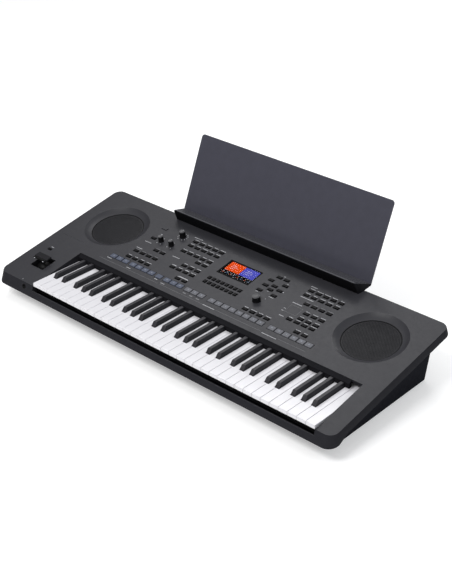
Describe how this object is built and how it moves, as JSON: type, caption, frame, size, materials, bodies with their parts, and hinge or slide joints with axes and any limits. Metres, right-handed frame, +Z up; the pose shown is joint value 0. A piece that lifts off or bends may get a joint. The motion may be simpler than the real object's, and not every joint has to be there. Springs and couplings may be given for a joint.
{
  "type": "arranger keyboard",
  "caption": "Portable arranger keyboard with piano-style keys, a sloped control panel with colour screen, knobs, buttons and pads, built-in speakers, a joystick and a lift-off music rest.",
  "frame": {"origin": "middle of the underside, under the centre of the bounding box", "axes": "+X along the keys from bass to treble, +Y from the player to the back, +Z up"},
  "size_m": [1.014, 0.4944, 0.3251],
  "materials": {
    "case_plastic": "fine grained dark grey moulding",
    "tub_plastic": "coarse grained black moulding",
    "white_key_plastic": "polished white",
    "black_key_plastic": "satin black",
    "button_plastic": "satin black",
    "pad_plastic": "frosted translucent grey",
    "knob_plastic": "satin black",
    "lens_plastic": "clear gloss over the screen",
    "grille_metal": "black paint",
    "speaker_metal": "black paint",
    "cone_paper": "pulp",
    "felt": "pressed felt",
    "rubber": "moulded rubber",
    "board": "lacquered board",
    "screw_steel": "black zinc",
    "socket_plastic": "black nylon",
    "rest_plastic": "smooth satin moulding"
  },
  "bodies": {
    "case": {"upper_case": "case_plastic", "lower_case": "tub_plastic", "rubber_feet": "rubber", "case_screws": "screw_steel", "key_chassis": "tub_plastic", "key_felt": "felt", "key_contact_board": "board", "key_contact_strips": "rubber", "panel_boards": "board", "switch_mats": "rubber", "display_module": "socket_plastic", "display_lens": "lens_plastic", "rotary_controls": "socket_plastic", "main_board": "board", "joystick_housing": "knob_plastic", "headphone_socket": "socket_plastic", "rear_sockets": "socket_plastic", "power_inlet": "socket_plastic", "speaker_grille_left": "grille_metal", "speaker_frame_left": "speaker_metal", "speaker_grille_right": "grille_metal", "speaker_frame_right": "speaker_metal"},
    "keys_c": {"keys_c": "white_key_plastic"},
    "keys_d": {"keys_d": "white_key_plastic"},
    "keys_e": {"keys_e": "white_key_plastic"},
    "keys_f": {"keys_f": "white_key_plastic"},
    "keys_g": {"keys_g": "white_key_plastic"},
    "keys_a": {"keys_a": "white_key_plastic"},
    "keys_b": {"keys_b": "white_key_plastic"},
    "keys_c_sharp": {"keys_c_sharp": "black_key_plastic"},
    "keys_d_sharp": {"keys_d_sharp": "black_key_plastic"},
    "keys_f_sharp": {"keys_f_sharp": "black_key_plastic"},
    "keys_g_sharp": {"keys_g_sharp": "black_key_plastic"},
    "keys_a_sharp": {"keys_a_sharp": "black_key_plastic"},
    "song_buttons": {"song_buttons": "button_plastic"},
    "style_buttons": {"style_buttons": "button_plastic"},
    "track_buttons": {"track_buttons": "button_plastic"},
    "menu_buttons": {"menu_buttons": "button_plastic"},
    "voice_buttons": {"voice_buttons": "button_plastic"},
    "effect_buttons": {"effect_buttons": "button_plastic"},
    "navigation_buttons": {"navigation_buttons": "button_plastic"},
    "display_buttons": {"display_buttons": "button_plastic"},
    "intro_pads": {"intro_pads": "pad_plastic"},
    "variation_pads": {"variation_pads": "pad_plastic"},
    "ending_pads": {"ending_pads": "pad_plastic"},
    "start_pads": {"start_pads": "pad_plastic"},
    "registration_pads": {"registration_pads": "pad_plastic"},
    "one_touch_pads": {"one_touch_pads": "pad_plastic"},
    "standby_button": {"standby_button": "case_plastic"},
    "hold_button": {"hold_button": "button_plastic"},
    "volume_knob": {"volume_knob": "knob_plastic"},
    "control_knob_left": {"control_knob_left": "knob_plastic"},
    "control_knob_right": {"control_knob_right": "knob_plastic"},
    "data_dial": {"data_dial": "knob_plastic"},
    "joystick_yoke": {"joystick_yoke": "knob_plastic"},
    "joystick_lever": {"joystick_lever": "knob_plastic"},
    "speaker_cone_left": {"speaker_cone_left": "cone_paper"},
    "speaker_cone_right": {"speaker_cone_right": "cone_paper"},
    "music_rest": {"music_rest": "rest_plastic"}
  },
  "joints": [
    {"name": "music_rest_lift", "type": "slide", "parent": "case", "child": "music_rest", "axis": [0, 0, 1], "range_m": [0, 0.06]},
    {"name": "speaker_cone_right_pump", "type": "slide", "parent": "case", "child": "speaker_cone_right", "axis": [0, -0.1805, 0.9836], "range_m": [-0.0015, 0.0015], "stiffness_N_per_m": 2000},
    {"name": "speaker_cone_left_pump", "type": "slide", "parent": "case", "child": "speaker_cone_left", "axis": [0, -0.1805, 0.9836], "range_m": [-0.0015, 0.0015], "stiffness_N_per_m": 2000},
    {"name": "joystick_tilt_side", "type": "hinge", "parent": "joystick_yoke", "child": "joystick_lever", "pos_m": [-0.432, -0.16011, 0.05982], "axis": [0, 0.9836, 0.1805], "range_deg": [-18, 18], "stiffness_Nm_per_rad": 0.3},
    {"name": "joystick_tilt_fore_aft", "type": "hinge", "parent": "case", "child": "joystick_yoke", "pos_m": [-0.432, -0.16011, 0.05982], "axis": [1, 0, 0], "range_deg": [-18, 18], "stiffness_Nm_per_rad": 0.3},
    {"name": "data_dial_turn", "type": "hinge", "parent": "case", "child": "data_dial", "pos_m": [0.1015, 0.00189, 0.10785], "axis": [0, -0.1805, 0.9836], "continuous": true},
    {"name": "control_knob_right_turn", "type": "hinge", "parent": "case", "child": "control_knob_right", "pos_m": [-0.21114, 0.05205, 0.11706], "axis": [0, -0.1805, 0.9836], "range_deg": [-150, 150]},
    {"name": "control_knob_left_turn", "type": "hinge", "parent": "case", "child": "control_knob_left", "pos_m": [-0.24488, 0.05205, 0.11706], "axis": [0, -0.1805, 0.9836], "range_deg": [-150, 150]},
    {"name": "volume_knob_turn", "type": "hinge", "parent": "case", "child": "volume_knob", "pos_m": [-0.21134, 0.09237, 0.12446], "axis": [0, -0.1805, 0.9836], "range_deg": [-150, 150]},
    {"name": "keys_c_press", "type": "hinge", "parent": "case", "child": "keys_c", "pos_m": [0, -0.04544, 0.066], "axis": [1, 0, 0], "range_deg": [0, 3], "stiffness_Nm_per_rad": 3, "springref_deg": -14.32},
    {"name": "keys_d_press", "type": "hinge", "parent": "case", "child": "keys_d", "pos_m": [0, -0.04544, 0.066], "axis": [1, 0, 0], "range_deg": [0, 3], "stiffness_Nm_per_rad": 3, "springref_deg": -14.32},
    {"name": "keys_e_press", "type": "hinge", "parent": "case", "child": "keys_e", "pos_m": [0, -0.04544, 0.066], "axis": [1, 0, 0], "range_deg": [0, 3], "stiffness_Nm_per_rad": 3, "springref_deg": -14.32},
    {"name": "keys_f_press", "type": "hinge", "parent": "case", "child": "keys_f", "pos_m": [0, -0.04544, 0.066], "axis": [1, 0, 0], "range_deg": [0, 3], "stiffness_Nm_per_rad": 3, "springref_deg": -14.32},
    {"name": "keys_g_press", "type": "hinge", "parent": "case", "child": "keys_g", "pos_m": [0, -0.04544, 0.066], "axis": [1, 0, 0], "range_deg": [0, 3], "stiffness_Nm_per_rad": 3, "springref_deg": -14.32},
    {"name": "keys_a_press", "type": "hinge", "parent": "case", "child": "keys_a", "pos_m": [0, -0.04544, 0.066], "axis": [1, 0, 0], "range_deg": [0, 3], "stiffness_Nm_per_rad": 3, "springref_deg": -14.32},
    {"name": "keys_b_press", "type": "hinge", "parent": "case", "child": "keys_b", "pos_m": [0, -0.04544, 0.066], "axis": [1, 0, 0], "range_deg": [0, 3], "stiffness_Nm_per_rad": 3, "springref_deg": -14.32},
    {"name": "keys_c_sharp_press", "type": "hinge", "parent": "case", "child": "keys_c_sharp", "pos_m": [0, -0.04544, 0.066], "axis": [1, 0, 0], "range_deg": [0, 3], "stiffness_Nm_per_rad": 3, "springref_deg": -14.32},
    {"name": "keys_d_sharp_press", "type": "hinge", "parent": "case", "child": "keys_d_sharp", "pos_m": [0, -0.04544, 0.066], "axis": [1, 0, 0], "range_deg": [0, 3], "stiffness_Nm_per_rad": 3, "springref_deg": -14.32},
    {"name": "keys_f_sharp_press", "type": "hinge", "parent": "case", "child": "keys_f_sharp", "pos_m": [0, -0.04544, 0.066], "axis": [1, 0, 0], "range_deg": [0, 3], "stiffness_Nm_per_rad": 3, "springref_deg": -14.32},
    {"name": "keys_g_sharp_press", "type": "hinge", "parent": "case", "child": "keys_g_sharp", "pos_m": [0, -0.04544, 0.066], "axis": [1, 0, 0], "range_deg": [0, 3], "stiffness_Nm_per_rad": 3, "springref_deg": -14.32},
    {"name": "keys_a_sharp_press", "type": "hinge", "parent": "case", "child": "keys_a_sharp", "pos_m": [0, -0.04544, 0.066], "axis": [1, 0, 0], "range_deg": [0, 3], "stiffness_Nm_per_rad": 3, "springref_deg": -14.32},
    {"name": "song_buttons_press", "type": "slide", "parent": "case", "child": "song_buttons", "axis": [0, 0.1805, -0.9836], "range_m": [0, 0.001], "stiffness_N_per_m": 1500, "springref_m": -0.0015},
    {"name": "style_buttons_press", "type": "slide", "parent": "case", "child": "style_buttons", "axis": [0, 0.1805, -0.9836], "range_m": [0, 0.001], "stiffness_N_per_m": 1500, "springref_m": -0.0015},
    {"name": "track_buttons_press", "type": "slide", "parent": "case", "child": "track_buttons", "axis": [0, 0.1805, -0.9836], "range_m": [0, 0.001], "stiffness_N_per_m": 1500, "springref_m": -0.0015},
    {"name": "menu_buttons_press", "type": "slide", "parent": "case", "child": "menu_buttons", "axis": [0, 0.1805, -0.9836], "range_m": [0, 0.001], "stiffness_N_per_m": 1500, "springref_m": -0.0015},
    {"name": "voice_buttons_press", "type": "slide", "parent": "case", "child": "voice_buttons", "axis": [0, 0.1805, -0.9836], "range_m": [0, 0.001], "stiffness_N_per_m": 1500, "springref_m": -0.0015},
    {"name": "effect_buttons_press", "type": "slide", "parent": "case", "child": "effect_buttons", "axis": [0, 0.1805, -0.9836], "range_m": [0, 0.001], "stiffness_N_per_m": 1500, "springref_m": -0.0015},
    {"name": "navigation_buttons_press", "type": "slide", "parent": "case", "child": "navigation_buttons", "axis": [0, 0.1805, -0.9836], "range_m": [0, 0.001], "stiffness_N_per_m": 1500, "springref_m": -0.0015},
    {"name": "display_buttons_press", "type": "slide", "parent": "case", "child": "display_buttons", "axis": [0, 0.1805, -0.9836], "range_m": [0, 0.001], "stiffness_N_per_m": 1500, "springref_m": -0.0015},
    {"name": "intro_pads_press", "type": "slide", "parent": "case", "child": "intro_pads", "axis": [0, 0.1805, -0.9836], "range_m": [0, 0.001], "stiffness_N_per_m": 1500, "springref_m": -0.0015},
    {"name": "variation_pads_press", "type": "slide", "parent": "case", "child": "variation_pads", "axis": [0, 0.1805, -0.9836], "range_m": [0, 0.001], "stiffness_N_per_m": 1500, "springref_m": -0.0015},
    {"name": "ending_pads_press", "type": "slide", "parent": "case", "child": "ending_pads", "axis": [0, 0.1805, -0.9836], "range_m": [0, 0.001], "stiffness_N_per_m": 1500, "springref_m": -0.0015},
    {"name": "start_pads_press", "type": "slide", "parent": "case", "child": "start_pads", "axis": [0, 0.1805, -0.9836], "range_m": [0, 0.001], "stiffness_N_per_m": 1500, "springref_m": -0.0015},
    {"name": "registration_pads_press", "type": "slide", "parent": "case", "child": "registration_pads", "axis": [0, 0.1805, -0.9836], "range_m": [0, 0.001], "stiffness_N_per_m": 1500, "springref_m": -0.0015},
    {"name": "one_touch_pads_press", "type": "slide", "parent": "case", "child": "one_touch_pads", "axis": [0, 0.1805, -0.9836], "range_m": [0, 0.001], "stiffness_N_per_m": 1500, "springref_m": -0.0015},
    {"name": "standby_button_press", "type": "slide", "parent": "case", "child": "standby_button", "axis": [0, 0.1805, -0.9836], "range_m": [0, 0.001], "stiffness_N_per_m": 1500, "springref_m": -0.0015},
    {"name": "hold_button_press", "type": "slide", "parent": "case", "child": "hold_button", "axis": [0, 0.1805, -0.9836], "range_m": [0, 0.001], "stiffness_N_per_m": 1500, "springref_m": -0.0015}
  ]
}
